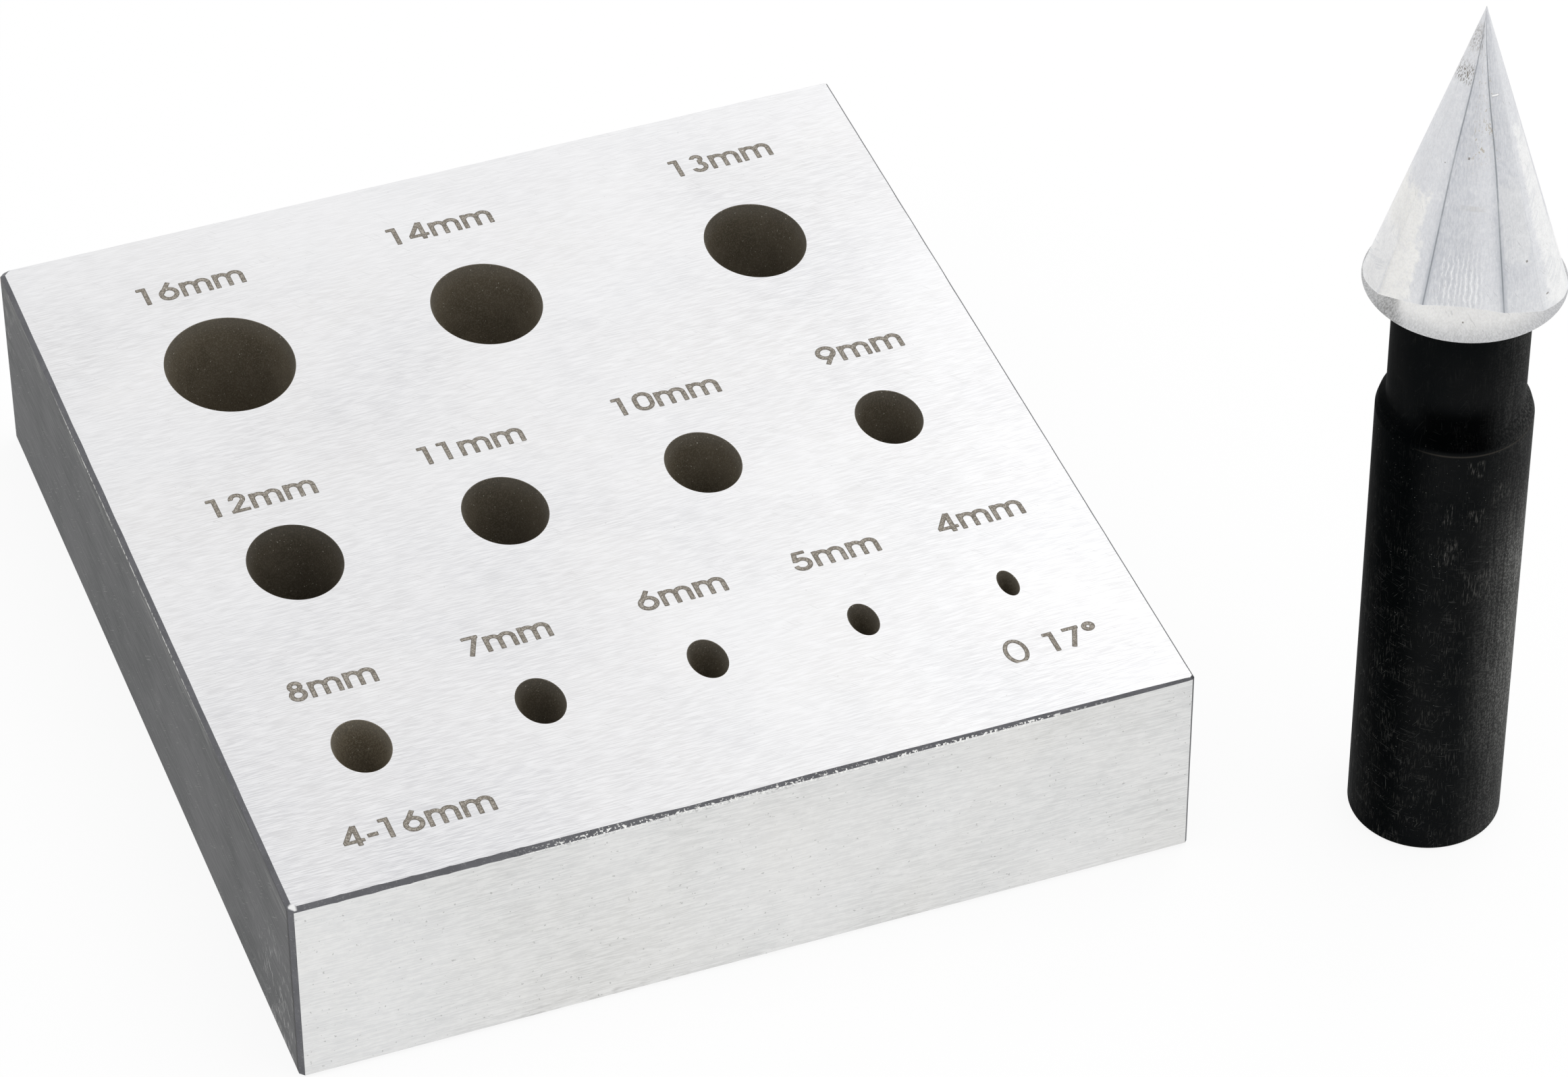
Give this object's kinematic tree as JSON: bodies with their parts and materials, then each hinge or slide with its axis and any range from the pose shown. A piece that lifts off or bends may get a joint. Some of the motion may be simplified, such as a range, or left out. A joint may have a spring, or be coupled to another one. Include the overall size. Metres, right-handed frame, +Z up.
{
  "type": "bezel block and punch",
  "caption": "Rectangular steel bezel block with rows of oval tapered pockets from large to small, and an upright oval punch with a blackened round shank and a bright faceted point.",
  "frame": {"origin": "middle of the block's bottom face, on the bench", "axes": "+X along the block's front edge towards the punch, +Y from the row of small pockets to the row of large ones, +Z up out of the pockets"},
  "size_m": [0.1332, 0.1194, 0.104],
  "materials": {
    "ground_steel": "fine ground top, dull blackened pockets, darker ground sides",
    "blackened_steel": "satin black oxide with fine scratches",
    "bright_steel": "fine ground, bright"
  },
  "bodies": {
    "block": {"block": "ground_steel"},
    "punch": {"punch_shank": "blackened_steel", "punch_head": "bright_steel"}
  },
  "joints": [
    {"name": "punch_lift", "type": "slide", "parent": "block", "child": "punch", "axis": [0, 0, 1], "range_m": [0, 0.06]}
  ]
}
